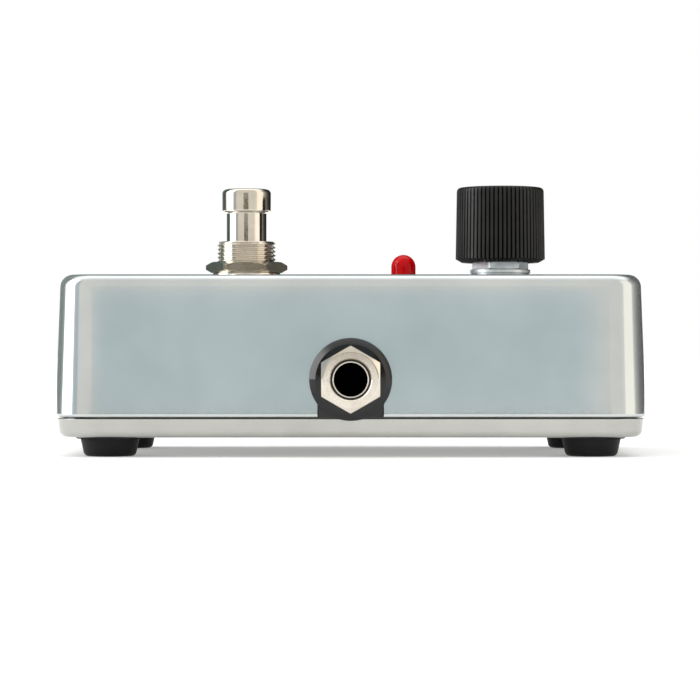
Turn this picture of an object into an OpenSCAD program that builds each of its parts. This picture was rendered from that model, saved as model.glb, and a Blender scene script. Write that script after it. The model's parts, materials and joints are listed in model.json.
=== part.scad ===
// Compact guitar effects pedal: a cast box on rubber feet with a latching footswitch,
// a control knob, an indicator lamp, an input jack, an output jack and a power socket.
// The origin is the centre of the box on the floor. +X runs from the footswitch end to
// the knob end, -Y is the side of the input jack, and +Z is up.

/* [Box] */
// Length of the box at its lower edge
body_l = 114; // [113:0.5:118]
// Width of the box at its lower edge
body_w = 62; // [61.5:0.5:66]
// Height of the box's top face above the floor
top_z = 35; // [35:0.5:37]
// Draft of the cast walls, in degrees
draft = 2.2; // [1.5:0.1:2.4]
// Radius of the upright corners at the lower edge
corner_r = 7.6; // [6:0.1:8]
// Radius of the top edge
top_edge_r = 2.4; // [2:0.1:3.5]
// Thickness of the side walls
wall_t = 2.4; // [2:0.1:2.5]
// Thickness of the top wall
roof_t = 2.2; // [2:0.1:2.4]

/* [Base] */
// Height of the rubber feet with their pads
foot_h = 3.75; // [3:0.25:5]
// Height of the cover's outer rim
cover_h = 3.6; // [3.5:0.1:4.5]
// Gap that shows between the cover and the box
seam_gap = 0.3; // [0.2:0.05:0.4]
// Distance of each foot from the middle of the length
foot_x = 46.6; // [44:0.2:47]
// Distance of each foot from the middle of the width
foot_y = 22; // [20:0.5:22.5]
// Largest diameter of a foot
foot_d = 11.4; // [10:0.2:12]

/* [Footswitch] */
// Place of the footswitch along the length
switch_x = -21; // [-21.5:0.5:-20.5]
// Diameter of the button's cap
cap_d = 9.8; // [9:0.1:11]
// Height of the top of the cap above the floor
cap_top_z = 53; // [52:0.5:55]
// Diameter of the sliding neck of the button
neck_d = 8; // [7:0.1:8.2]
// Outer diameter of the threaded bushing
bushing_d = 11.8; // [11.5:0.1:12]
// Full travel of the button
press_travel = 2.6; // [2:0.1:3]

/* [Knob] */
// Place of the knob along the length
knob_x = 30.2; // [29.5:0.1:31]
// Diameter of the knob at its foot
knob_d = 18; // [17:0.5:20]
// Diameter of the knob at its top
knob_top_d = 17.5; // [16.5:0.5:19.5]
// Height of the top of the knob above the floor
knob_top_z = 53.4; // [53:0.2:56]
// Number of ribs around the knob
rib_count = 64; // [32:2:72]

/* [Lamp] */
// Place of the lamp along the length
lamp_x = 10.65; // [9.5:0.05:12]
// Diameter of the lens
lens_d = 4.9; // [4.8:0.1:5]

/* [Jacks] */
// Height of the signal jacks' axis above the floor
jack_z = 14.9; // [14.9:0.1:15]
// Diameter of the hole that takes the plug
plug_d = 6.4; // [6.36:0.01:6.5]
// Outer diameter of the black collar
collar_d = 15.8; // [15:0.1:16]
// How far the jack's nut stands out from the box's lower edge
jack_reach = 3.95; // [3.5:0.05:4.5]

/* [Hidden] */

fine = 96;       // facets asked of round features, which are rebuilt as true curves
coarse = 40;     // facets of the cast corners, which stay faceted
eps = 0.5;       // how far a cutter runs past the face that it opens

// Heights of the box and its cover
cover_top = foot_h + cover_h;
shell_z = cover_top + seam_gap;
roof_z = top_z - roof_t;
floor_t = 2;
floor_z = foot_h + floor_t;
inner_edge_r = 1.5;
cover_inset = 0.4;
cover_edge_r = 1.5;
cover_draft = 6.8;
seam_depth = 1.3;
lip_t = 1.3;
lip_h = 1.75;
lip_gap = 0.15;

// Cover screws and the bosses that they enter, between the feet on the end walls
screw_x = 52;
screw_y = 13;
boss_r = 3.25;
screw_r = 1.5;
screw_head_r = 2.75;
screw_head_h = 1.45;
screw_sink = 0.2;
screw_len = 10;
tap_depth = 8;

// Feet
pad_t = 0.35;
pad_r = 6.5;
foot_taper = 0.75;
foot_edge_r = 1;

// Footswitch
switch_washer_t = 0.5;
switch_washer_r = 7;
switch_lock_r = 6.8;
switch_nut_z = top_z + 2 * switch_washer_t;
switch_nut_h = 2.2;
switch_nut_af = 14.3;
switch_nut_rim = 6.9;
thread_pitch = 0.794;
thread_depth = 0.4;
bushing_top_z = 42.3;
cap_h = 4.8;
cap_edge_r = 0.9;
plate_z = 23.8;
plate_t = 1;
bushing_z = plate_z + plate_t;
block_half = 8.5;
block_z = 12;
neck_foot_z = 32;
stem_r = 2;
stem_end_z = 20;
rocker_z = 15;
rocker_pin_r = 0.8;
lug_pitch = 5;
lug_end_z = 7.4;

// Potentiometer and knob
pot_bushing_r = 3.5;
shaft_r = 3;
pot_plate_z = 31.2;
pot_can_z = 25;
pot_can_r = 8.2;
pot_can_t = 0.8;
pot_bushing_top = 39.6;
pot_lock_t = 0.9;
pot_lock_r = 5.8;
pot_washer_t = 0.8;
pot_washer_r = 6.05;
pot_nut_h = 1.5;
pot_nut_af = 10;
pot_nut_rim = 5.45;
pot_nut_z = top_z + pot_lock_t + pot_washer_t;
pot_nut_turn = 6;
knob_z = 38.1;
knob_hollow_r = 7;
knob_hollow_top = 41.5;
shaft_top_z = 50.4;
knob_edge_r = 0.8;
knob_bevel_w = 1.25;
knob_bevel_h = 0.7;
rib_depth = 0.45;
pointer_w = 1;
pointer_start = 2;
pointer_end = 7.4;
pointer_t = 0.5;

// Lamp
lens_top_z = 39.7;
lens_flange_z = 31.1;
lead_pitch = 2.54;
lead_w = 0.5;

// Circuit board and the jacks that hang under it
board_z = 21.2;
board_t = 1.6;
board_top = board_z + board_t;
board_x0 = -9.5;
board_x1 = 47.5;
board_half_w = 26.5;
slot_r = 6.25;
slot_fit = 0.1;
jack_face_y = body_w / 2 + jack_reach;
collar_t = 1.3;
collar_y = body_w / 2 + collar_t;
collar_bevel = 1.2;
collar_rim_t = 0.2;
jack_nut_af = 11.2;
jack_nut_rim = 5.35;
nose_r = 3.85;
sleeve_r = 3.475;
sleeve_l = 12;
jack_block_half = 8;
jack_block_z = 8.6;
jack_block_y0 = 3.2;
jack_block_y1 = 28;
chamber_r = 4.2;
chamber_end_y = 4.6;
leaf_t = 0.4;
leaf_w = 3;

// Power socket in the end wall
power_z = 15.4;
power_hole_r = 5.75;
power_face_x = 54;
power_back_x = 42;
power_socket_r = 3.15;
power_socket_l = 9;
power_pin_r = 1;
power_half_w = 6.2;
power_foot_z = 9.65;

// Battery
battery_x0 = -48;
battery_t = 17.4;
battery_y0 = -26;
battery_l = 46;
battery_z0 = 6.2;
battery_h = 26.2;
battery_mid_x = battery_x0 + battery_t / 2;
battery_mid_z = battery_z0 + battery_h / 2;
battery_end_y = battery_y0 + battery_l;
snap_pitch = 12.7;
snap_r = 2.8;
snap_ring_r = 4.2;
snap_h = 2.6;
clip_t = 2.2;
clip_y = battery_end_y + snap_h + 0.4;
lead_r = 0.65;
lead_end_z = board_top + 0.05;
red_route = [[-32.8, 24.1, 24], [-28, 24.4, 25], [-20, 24.6, 26], [-11, 24.6, 26], [-6, 24.6, 25.4],
    [-5, 24.6, 24], [-5, 24.6, lead_end_z]];
black_route = [[-32.8, 24.1, 17], [-27, 24.6, 19], [-19, 24, 22.6], [-11, 22, 26], [-6, 21.5, 25.4],
    [-5, 21.5, 24], [-5, 21.5, lead_end_z]];

// ---- Shared shapes ----

// Arc points, angles in degrees, about a centre
function arc(c, r, a0, a1, steps) =
    [for (i = [0:steps]) c + r * [cos(a0 + (a1 - a0) * i / steps), sin(a0 + (a1 - a0) * i / steps)]];

// Plate with round corners, standing on z = 0
module round_plate(l, w, r, h) {
    linear_extrude(h) {
        square([l - 2 * r, w], center = true);
        square([l, w - 2 * r], center = true);
        for (sx = [-1, 1], sy = [-1, 1])
            translate([sx * (l / 2 - r), sy * (w / 2 - r)]) circle(r, $fn = fine);
    }
}

// Block with drafted sides, round corners and a round top edge, standing on z = 0
module cast_block(l, w, h, r, edge_r, angle) {
    edge_z = h - edge_r;
    shrink = edge_z * tan(angle);
    profile = concat(
        [[0, 0], [r, 0]],
        arc([r - shrink - edge_r, edge_z], edge_r, 0, 90, 6),
        [[0, h]]
    );
    hull()
        for (sx = [-1, 1], sy = [-1, 1])
            translate([sx * (l / 2 - r), sy * (w / 2 - r), 0])
                rotate_extrude($fn = coarse) polygon(profile);
}

// Hex nut standing on z = 0, with both rims chamfered outside the radius rim_r
module hex_nut(af, h, hole_r, rim_r, turn) {
    corner = af / 2 / cos(30);
    clear_r = corner + 0.2;
    rise = (clear_r - rim_r) * tan(30);
    difference() {
        intersection() {
            rotate([0, 0, turn]) cylinder(r = corner, h = h, $fn = 6);
            rotate_extrude($fn = fine)
                polygon([[0, 0], [rim_r, 0], [clear_r, rise], [clear_r, h - rise], [rim_r, h], [0, h]]);
        }
        translate([0, 0, -eps]) cylinder(r = hole_r, h = h + 2 * eps, $fn = fine);
    }
}

// Flat washer, standing on z = 0
module washer(outer_r, hole_r, h) {
    difference() {
        cylinder(r = outer_r, h = h, $fn = fine);
        translate([0, 0, -eps]) cylinder(r = hole_r, h = h + 2 * eps, $fn = fine);
    }
}

// Washer with notches cut between its inner teeth
module toothed_washer(outer_r, hole_r, h, teeth) {
    notch_w = 0.5 * PI * hole_r / teeth * 2;
    difference() {
        washer(outer_r, hole_r, h);
        for (i = [0:teeth - 1])
            rotate([0, 0, i * 360 / teeth])
                translate([hole_r - eps, -notch_w / 2, -eps])
                    cube([(outer_r - hole_r) / 2 + eps, notch_w, h + 2 * eps]);
    }
}

// Unit direction of a flat path at one of its points
function path_dir(p, i) =
    let (a = p[max(i - 1, 0)], b = p[i], c = p[min(i + 1, len(p) - 1)])
    let (u = norm(b - a) > 0 ? (b - a) / norm(b - a) : [0, 0])
    let (v = norm(c - b) > 0 ? (c - b) / norm(c - b) : [0, 0])
    (u + v) / norm(u + v);

// Half-thickness offset at a point, lengthened at a bend so that the strip keeps its gauge
function path_side(p, i, t) =
    let (d = path_dir(p, i), j = min(i + 1, len(p) - 1), k = j - 1)
    let (s = (p[j] - p[k]) / norm(p[j] - p[k]))
    t / 2 / max(abs(d * s), 0.5) * [-d[1], d[0]];

// Outline of a strip of even thickness along a flat path
function strip_outline(p, t) = concat(
    [for (i = [0:len(p) - 1]) p[i] + path_side(p, i, t)],
    [for (i = [len(p) - 1:-1:0]) p[i] - path_side(p, i, t)]
);

// Point on a smooth curve through the points of a route
function on_curve(p, i, t) =
    let (a = p[max(i - 1, 0)], b = p[i], c = p[i + 1], d = p[min(i + 2, len(p) - 1)])
    0.5 * (2 * b + (c - a) * t + (2 * a - 5 * b + 4 * c - d) * t * t + (3 * b - a - 3 * c + d) * t * t * t);

function smooth_route(p, steps) = concat(
    [for (i = [0:len(p) - 2], k = [0:steps - 1]) on_curve(p, i, k / steps)],
    [p[len(p) - 1]]
);

// Ring of points square to a route at one of its points
function ring_at(p, i, r, sides) =
    let (d = p[min(i + 1, len(p) - 1)] - p[max(i - 1, 0)], t = d / norm(d))
    let (u0 = cross(t, [0, 1, 0.3]), u = u0 / norm(u0), v = cross(t, u))
    [for (k = [0:sides - 1]) p[i] + r * (cos(k * 360 / sides) * u + sin(k * 360 / sides) * v)];

// Round tube swept along a route
module tube(p, r, sides) {
    n = len(p);
    points = [for (i = [0:n - 1]) each ring_at(p, i, r, sides)];
    walls = [for (i = [0:n - 2], k = [0:sides - 1])
        let (a = i * sides + k, b = i * sides + (k + 1) % sides)
        each [[a, b, b + sides], [a, b + sides, a + sides]]];
    caps = [[for (k = [sides - 1:-1:0]) k], [for (k = [0:sides - 1]) (n - 1) * sides + k]];
    polyhedron(points = points, faces = concat(walls, caps));
}

// ---- Box ----

// Slot in the side wall, open at the box's lower edge, that a jack's neck fills
module jack_slot(side) {
    translate([0, side * (body_w / 2 - wall_t / 2), 0]) {
        translate([0, 0, jack_z]) rotate([90, 0, 0])
            cylinder(r = slot_r, h = 3 * wall_t, center = true, $fn = fine);
        translate([-slot_r, -1.5 * wall_t, shell_z - eps])
            cube([2 * slot_r, 3 * wall_t, jack_z - shell_z + eps]);
    }
}

module at_screws() {
    for (sx = [-1, 1], sy = [-1, 1]) translate([sx * screw_x, sy * screw_y, 0]) children();
}

module enclosure_shell() {
    inner_l = body_l - 2 * wall_t;
    inner_w = body_w - 2 * wall_t;
    color("#a8b2b4")
    difference() {
        union() {
            difference() {
                translate([0, 0, shell_z])
                    cast_block(body_l, body_w, top_z - shell_z, corner_r, top_edge_r, draft);
                translate([0, 0, shell_z - eps])
                    cast_block(inner_l, inner_w, roof_z - shell_z + eps, corner_r - wall_t,
                        inner_edge_r, draft);
            }
            at_screws() translate([0, 0, shell_z])
                cylinder(r = boss_r, h = roof_z - shell_z + eps, $fn = fine);
        }
        at_screws() translate([0, 0, shell_z - eps])
            cylinder(r = screw_r, h = tap_depth + eps, $fn = fine);
        for (side = [-1, 1]) jack_slot(side);
        translate([switch_x, 0, roof_z - eps])
            cylinder(r = bushing_d / 2 + 0.15, h = roof_t + 2 * eps, $fn = fine);
        translate([lamp_x, 0, roof_z - eps])
            cylinder(r = lens_d / 2 + 0.1, h = roof_t + 2 * eps, $fn = fine);
        translate([knob_x, 0, roof_z - eps])
            cylinder(r = pot_bushing_r + 0.1, h = roof_t + 2 * eps, $fn = fine);
        translate([body_l / 2 - 2 * wall_t, 0, power_z]) rotate([0, 90, 0])
            cylinder(r = power_hole_r, h = 3 * wall_t, $fn = fine);
    }
}

module base_cover() {
    rim_l = body_l - 2 * cover_inset;
    rim_w = body_w - 2 * cover_inset;
    lip_l = body_l - 2 * wall_t - 2 * lip_gap;
    lip_w = body_w - 2 * wall_t - 2 * lip_gap;
    tray_l = lip_l - 2 * lip_t;
    tray_w = lip_w - 2 * lip_t;
    lip_r = corner_r - wall_t - lip_gap;
    color("#cfd0cb")
    difference() {
        union() {
            difference() {
                union() {
                    translate([0, 0, cover_top]) rotate([180, 0, 0])
                        cast_block(rim_l, rim_w, cover_h, corner_r - cover_inset, cover_edge_r, cover_draft);
                    translate([0, 0, cover_top - eps])
                        round_plate(body_l - 2 * seam_depth, body_w - 2 * seam_depth, corner_r - seam_depth,
                            seam_gap + eps);
                    translate([0, 0, cover_top])
                        round_plate(lip_l, lip_w, lip_r, seam_gap + lip_h);
                }
                translate([0, 0, floor_z])
                    round_plate(tray_l, tray_w, lip_r - lip_t, cover_h + lip_h + eps);
                for (side = [-1, 1])
                    translate([-jack_block_half - 1, side * lip_w / 2 - 3 * lip_t, shell_z])
                        cube([2 * jack_block_half + 2, 6 * lip_t, lip_h + eps]);
                at_screws() translate([0, 0, shell_z])
                    cylinder(r = boss_r + 0.25, h = lip_h + eps, $fn = fine);
            }
            at_screws() translate([0, 0, floor_z - eps])
                cylinder(r = boss_r, h = shell_z - floor_z + eps, $fn = fine);
        }
        at_screws() translate([0, 0, foot_h]) {
            cylinder(r = screw_r + 0.1, h = shell_z - foot_h + eps, $fn = fine);
            translate([0, 0, -eps]) cylinder(r = screw_head_r + 0.1, h = screw_sink + eps, $fn = fine);
            translate([0, 0, screw_sink])
                cylinder(r1 = screw_head_r + 0.1, r2 = screw_r + 0.1, h = screw_head_h, $fn = fine);
        }
    }
}

// Countersunk cross-head screws
module cover_screws() {
    cross_l = 3.2;
    cross_w = 0.8;
    cross_h = 1.1;
    color("#8d8f8f")
    at_screws() translate([0, 0, foot_h + screw_sink])
        difference() {
            union() {
                cylinder(r1 = screw_head_r, r2 = screw_r, h = screw_head_h, $fn = fine);
                cylinder(r = screw_r, h = screw_len, $fn = fine);
            }
            for (a = [0, 90]) rotate([0, 0, a])
                translate([-cross_l / 2, -cross_w / 2, -eps]) cube([cross_l, cross_w, cross_h + eps]);
        }
}

// ---- Feet ----

// Tapered round bumper; sx and sy pick the corner
module foot(sx, sy) {
    low_r = foot_d / 2 - foot_taper;
    top = foot_h - pad_t;
    profile = concat(
        [[0, 0]],
        arc([low_r - foot_edge_r, foot_edge_r], foot_edge_r, -90, 0, 5),
        [[foot_d / 2, top], [0, top]]
    );
    color("#17181a")
    translate([sx * foot_x, sy * foot_y, 0]) rotate_extrude($fn = fine) polygon(profile);
}

module foot_front_right() { foot(-1, -1); }
module foot_front_left() { foot(-1, 1); }
module foot_rear_right() { foot(1, -1); }
module foot_rear_left() { foot(1, 1); }

// Adhesive discs between the feet and the cover
module foot_pads() {
    color("#2a2b2d")
    for (sx = [-1, 1], sy = [-1, 1])
        translate([sx * foot_x, sy * foot_y, foot_h - pad_t]) cylinder(r = pad_r, h = pad_t, $fn = fine);
}

// ---- Footswitch ----

module switch_button() {
    r = cap_d / 2;
    cap_z = cap_top_z - cap_h;
    profile = concat(
        [[0, stem_end_z], [stem_r, stem_end_z], [stem_r, neck_foot_z], [neck_d / 2, neck_foot_z],
            [neck_d / 2, cap_z]],
        arc([r - cap_edge_r, cap_z + cap_edge_r], cap_edge_r, -90, 0, 4),
        arc([r - cap_edge_r, cap_top_z - cap_edge_r], cap_edge_r, 0, 90, 4),
        [[0, cap_top_z]]
    );
    color("#e3dcc9")
    translate([switch_x, 0, 0]) rotate_extrude($fn = fine) polygon(profile);
}

// Return spring around the stem, between the cradle and the neck
module switch_spring() {
    turns = 5;
    wire_r = 0.35;
    coil_r = 3.3;
    low = bushing_z + wire_r + 0.02;
    rise = neck_foot_z - low - wire_r - 0.02;
    steps = 24 * turns;
    route = [for (i = [0:steps])
        [coil_r * cos(i * 15), coil_r * sin(i * 15), low + rise * i / steps]];
    color("#9a9a98")
    translate([switch_x, 0, 0]) tube(route, wire_r, 8);
}

// Threaded bushing, cut with rings that stand for its thread
module switch_bushing() {
    r = bushing_d / 2;
    rings = floor((bushing_top_z - bushing_z) / thread_pitch);
    ridge = [for (i = [0:rings - 1]) each [
        [r - thread_depth, bushing_z + i * thread_pitch],
        [r, bushing_z + (i + 0.5) * thread_pitch]
    ]];
    profile = concat(
        [[neck_d / 2 + 0.05, bushing_z]], ridge,
        [[r - thread_depth, bushing_z + rings * thread_pitch], [r - thread_depth, bushing_top_z],
            [neck_d / 2 + 0.05, bushing_top_z]]
    );
    color("#cfc8b8")
    translate([switch_x, 0, 0]) rotate_extrude($fn = fine) polygon(profile);
}

module switch_nut() {
    color("#b9b09c")
    translate([switch_x, 0, switch_nut_z])
        hex_nut(switch_nut_af, switch_nut_h, bushing_d / 2, switch_nut_rim, 0);
}

module switch_lock_washer() {
    color("#a09a8a")
    translate([switch_x, 0, top_z + switch_washer_t])
        toothed_washer(switch_lock_r, bushing_d / 2 + 0.1, switch_washer_t, 12);
}

module switch_washer() {
    color("#bdb6a5")
    translate([switch_x, 0, top_z]) washer(switch_washer_r, bushing_d / 2 + 0.1, switch_washer_t);
}

// Nut under the top wall that sets how far the bushing stands out
module switch_jam_nut() {
    color("#b9b09c")
    translate([switch_x, 0, roof_z - switch_nut_h])
        hex_nut(switch_nut_af, switch_nut_h, bushing_d / 2, switch_nut_rim, 0);
}

// Steel cradle: a plate under the bushing with two legs that grip the switch block
module switch_cradle() {
    leg_t = 0.8;
    leg_w = 10;
    leg_z = 14;
    color("#b8bab8")
    translate([switch_x, 0, 0]) {
        difference() {
            translate([-block_half, -block_half - leg_t, plate_z])
                cube([2 * block_half, 2 * (block_half + leg_t), plate_t]);
            translate([0, 0, plate_z - eps]) cylinder(r = stem_r + 0.2, h = plate_t + 2 * eps, $fn = fine);
        }
        for (side = [-1, 1])
            translate([-leg_w / 2, side * (block_half + leg_t / 2) - leg_t / 2, leg_z])
                cube([leg_w, leg_t, plate_z - leg_z]);
    }
}

// Moulded switch block with the rocker's chamber, its pivot holes and the hole for the stem
module switch_housing() {
    chamber = [12, 6.4, 8.5];
    chamber_z = 13;
    color("#27435f")
    translate([switch_x, 0, 0])
        difference() {
            translate([-block_half, -block_half, block_z])
                cube([2 * block_half, 2 * block_half, plate_z - block_z]);
            translate([-chamber[0] / 2, -chamber[1] / 2, chamber_z]) cube(chamber);
            translate([0, 0, chamber_z + chamber[2] - eps])
                cylinder(r = stem_r + 0.3, h = plate_z - chamber_z - chamber[2] + 2 * eps, $fn = fine);
            translate([0, 0, rocker_z]) rotate([90, 0, 0])
                cylinder(r = rocker_pin_r + 0.05, h = 8.2, center = true, $fn = fine);
        }
}

// See-saw that the stem tips from one set of contacts to the other
module switch_rocker() {
    bar = [9.4, 5.2, 1.4];
    color("#d8d2c4")
    translate([switch_x, 0, rocker_z]) {
        cube(bar, center = true);
        rotate([90, 0, 0]) cylinder(r = rocker_pin_r, h = bar[1] + 2.6, center = true, $fn = fine);
    }
}

module lug_places() {
    for (ix = [-1:1], iy = [-1:1]) translate([switch_x + ix * lug_pitch, iy * lug_pitch, 0]) children();
}

module switch_lugs() {
    color("#d5d3cc")
    lug_places() translate([-1, -0.4, lug_end_z]) cube([2, 0.8, block_z - lug_end_z]);
}

module switch_terminal_board() {
    board_half = 8.2;
    color("#5b3a22")
    difference() {
        translate([switch_x - board_half, -board_half, block_z - 1])
            cube([2 * board_half, 2 * board_half, 1]);
        lug_places() translate([-1, -0.4, block_z - 1 - eps]) cube([2, 0.8, 1 + 2 * eps]);
    }
}

// Flat wiring from the switch's terminals up to the circuit board
module switch_ribbon() {
    ribbon_t = 0.9;
    ribbon_w = 10.2;
    up_x = (switch_x + block_half + board_x0) / 2;
    low = block_z - 1.6;
    high = board_top + 1.3;
    route = [[switch_x + lug_pitch + 1.6, low], [up_x - 0.9, low], [up_x, low + 0.9],
        [up_x, high - 0.9], [up_x + 0.9, high], [board_x0 + 1.2, high], [board_x0 + 2.1, high - 0.7],
        [board_x0 + 2.1, board_top]];
    color("#8f9398")
    translate([0, ribbon_w / 2, 0]) rotate([90, 0, 0])
        linear_extrude(ribbon_w) polygon(strip_outline(route, ribbon_t));
}

// ---- Knob and potentiometer ----

module pointer_slot() {
    translate([knob_x + pointer_start, -pointer_w / 2, knob_top_z - pointer_t])
        cube([pointer_end - pointer_start, pointer_w, pointer_t + eps]);
}

// Ribbed knob, hollow below where it covers the nut
module knob() {
    foot_r = knob_d / 2;
    top_r = knob_top_d / 2;
    half_groove = 0.28 * 360 / rib_count;
    profile = concat(
        [[0, knob_z], [foot_r - knob_bevel_w, knob_z], [foot_r, knob_z + knob_bevel_h]],
        arc([top_r - knob_edge_r, knob_top_z - knob_edge_r], knob_edge_r, 0, 90, 4),
        [[0, knob_top_z]]
    );
    groove = [
        (top_r - rib_depth) * [1, 0],
        (foot_r + 0.3) * [cos(half_groove), -sin(half_groove)],
        (foot_r + 0.3) * [cos(half_groove), sin(half_groove)]
    ];
    color("#232322")
    difference() {
        translate([knob_x, 0, 0]) {
            difference() {
                rotate_extrude($fn = fine) polygon(profile);
                translate([0, 0, knob_z - eps])
                    linear_extrude(knob_top_z - knob_z + 2 * eps)
                        for (i = [0:rib_count - 1]) rotate(i * 360 / rib_count) polygon(groove);
                translate([0, 0, knob_z - eps])
                    cylinder(r = knob_hollow_r, h = knob_hollow_top - knob_z + eps, $fn = fine);
                cylinder(r = shaft_r + 0.01, h = shaft_top_z + 0.1, $fn = fine);
            }
        }
        pointer_slot();
    }
}

// White line inlaid in the knob's top
module knob_pointer() {
    color("#e8e6df")
    intersection() {
        pointer_slot();
        translate([knob_x, 0, 0]) cylinder(r = knob_d, h = knob_top_z, $fn = fine);
    }
}

module pot_shaft() {
    rotor_r = 6;
    rotor_z = 28.2;
    rotor_h = 2.3;
    color("#c3c5c4")
    translate([knob_x, 0, 0]) {
        translate([0, 0, rotor_z]) cylinder(r = rotor_r, h = rotor_h, $fn = fine);
        translate([0, 0, rotor_z]) cylinder(r = shaft_r, h = shaft_top_z - rotor_z, $fn = fine);
    }
}

// Sprung ring under the rotor with two fingers that run on the track
module pot_wiper() {
    wiper_z = 27.7;
    wiper_t = 0.5;
    finger_z = pot_can_z + 0.3;
    color("#c9a24b")
    translate([knob_x, 0, 0]) {
        translate([0, 0, wiper_z]) washer(5.4, 3.4, wiper_t);
        for (a = [60, 120]) rotate([0, 0, a])
            translate([4, -0.6, finger_z]) cube([1.2, 1.2, wiper_z + wiper_t / 2 - finger_z]);
    }
}

module pot_bushing() {
    plate_w = 15;
    color("#c8cbcc")
    translate([knob_x, 0, 0])
        difference() {
            union() {
                translate([0, 0, pot_plate_z]) {
                    round_plate(plate_w, plate_w, 2, roof_z - pot_plate_z);
                    cylinder(r = pot_bushing_r, h = pot_bushing_top - pot_plate_z, $fn = fine);
                }
            }
            translate([0, 0, pot_plate_z - eps])
                cylinder(r = shaft_r + 0.05, h = pot_bushing_top - pot_plate_z + 2 * eps, $fn = fine);
        }
}

module pot_lock_washer() {
    color("#b4bac0")
    translate([knob_x, 0, top_z]) toothed_washer(pot_lock_r, pot_bushing_r + 0.1, pot_lock_t, 10);
}

module pot_washer() {
    color("#c2cad2")
    translate([knob_x, 0, top_z + pot_lock_t]) washer(pot_washer_r, pot_bushing_r + 0.1, pot_washer_t);
}

module pot_nut() {
    color("#c2cad2")
    translate([knob_x, 0, pot_nut_z])
        hex_nut(pot_nut_af, pot_nut_h, pot_bushing_r, pot_nut_rim, pot_nut_turn);
}

module pot_housing() {
    color("#b9bcbc")
    translate([knob_x, 0, pot_can_z]) washer(pot_can_r, pot_can_r - pot_can_t, pot_plate_z - pot_can_z);
}

module pin_places() {
    for (i = [-1:1]) translate([knob_x + i * 5, pot_can_r + 2, 0]) children();
}

// Base disc that carries the resistive track, with a tongue for its three pins
module pot_wafer() {
    color("#7a4a2a")
    difference() {
        translate([0, 0, pot_can_z - 1]) {
            translate([knob_x, 0, 0]) cylinder(r = pot_can_r, h = 1, $fn = fine);
            translate([knob_x - 6.5, 0, 0]) cube([13, pot_can_r + 3, 1]);
        }
        pin_places() translate([-0.5, -0.3, 0]) cube([1, 0.6, pot_can_z + eps]);
    }
}

module pot_pins() {
    color("#d9d6cc")
    pin_places() translate([-0.5, -0.3, board_z - 1]) cube([1, 0.6, pot_can_z - board_z + 1]);
}

// ---- Lamp ----

// The two leads: the one with the cup stands on the -X side
module lamp_leads() {
    cup_z = 33;
    color("#d4d4d0")
    translate([lamp_x, 0, 0]) {
        for (sx = [-1, 1])
            translate([sx * lead_pitch / 2 - lead_w / 2, -lead_w / 2, board_z - 1])
                cube([lead_w, lead_w, cup_z - board_z + 2]);
        translate([-lead_pitch / 2 - lead_w / 2, -lead_w / 2, cup_z]) cube([1.9, lead_w, 2.4]);
        translate([lead_pitch / 2 - 0.6, -lead_w / 2, cup_z]) cube([0.6 + lead_w / 2, lead_w, 2]);
    }
}

module lamp_lens() {
    r = lens_d / 2;
    flange_h = 1;
    flange_r = 2.9;
    dome_z = lens_top_z - r;
    color("#d0021b")
    difference() {
        translate([lamp_x, 0, 0])
            rotate_extrude($fn = fine)
                polygon(concat(
                    [[0, lens_flange_z], [flange_r, lens_flange_z], [flange_r, lens_flange_z + flange_h],
                        [r, lens_flange_z + flange_h]],
                    arc([0, dome_z], r, 0, 90, 12)
                ));
        lamp_leads();
    }
}

module lamp_spacer() {
    color("#1d1d1f")
    difference() {
        translate([lamp_x, 0, board_top]) cylinder(r = 2.5, h = lens_flange_z - board_top, $fn = fine);
        lamp_leads();
    }
}

// ---- Signal jacks, drawn on the input side ----

// Flat path of the contact leaf in the (y, z) plane: a bump in the chamber, then out of
// the block's back and up through the circuit board
function leaf_route() = [
    [-14.6, jack_z - 3.2], [-12.6, jack_z - 1.9], [-9.6, jack_z - 3.7],
    [0.3 - jack_block_y0, jack_z - 3.7], [0.3 - jack_block_y0, board_top + 1.2]
];

module jack_housing() {
    chamber_y = jack_face_y - 0.2 - sleeve_l;
    collar_r = collar_d / 2;
    nose_face = jack_face_y - 0.4;
    color("#1b1c1e")
    difference() {
        union() {
            // Block with its neck in the wall's slot
            translate([-jack_block_half, -jack_block_y1, jack_block_z])
                cube([2 * jack_block_half, jack_block_y1 - jack_block_y0, board_z - jack_block_z]);
            translate([0, -jack_block_y1 + eps, jack_z]) rotate([90, 0, 0])
                cylinder(r = slot_r - slot_fit, h = body_w / 2 - jack_block_y1 + eps, $fn = fine);
            translate([slot_fit - slot_r, -body_w / 2, shell_z])
                cube([2 * (slot_r - slot_fit), body_w / 2 - jack_block_y1 + eps, jack_z - shell_z]);
            // Collar against the outside of the wall
            translate([0, -body_w / 2, jack_z]) rotate([90, 0, 0]) {
                cylinder(r = collar_r, h = collar_rim_t, $fn = fine);
                translate([0, 0, collar_rim_t])
                    cylinder(r1 = collar_r, r2 = collar_r - collar_bevel, h = collar_t - collar_rim_t, $fn = fine);
                cylinder(r = nose_r, h = nose_face - body_w / 2, $fn = fine);
            }
        }
        // Seat of the metal sleeve, then the chamber that the plug's tip reaches into
        translate([0, 0, jack_z]) rotate([90, 0, 0]) {
            translate([0, 0, chamber_y]) cylinder(r = sleeve_r, h = sleeve_l + 2, $fn = fine);
            translate([0, 0, chamber_end_y])
                cylinder(r = chamber_r, h = chamber_y - chamber_end_y, $fn = fine);
        }
        // Slot for the contact leaf
        translate([-leaf_w / 2 - 0.1, -chamber_end_y - eps, jack_z - 4])
            cube([leaf_w + 0.2, chamber_end_y - jack_block_y0 + 2 * eps, 0.6]);
    }
}

module jack_sleeve() {
    color("#d8d0c0")
    translate([0, -(jack_face_y - 0.2 - sleeve_l), jack_z]) rotate([90, 0, 0])
        washer(sleeve_r, plug_d / 2, sleeve_l);
}

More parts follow.
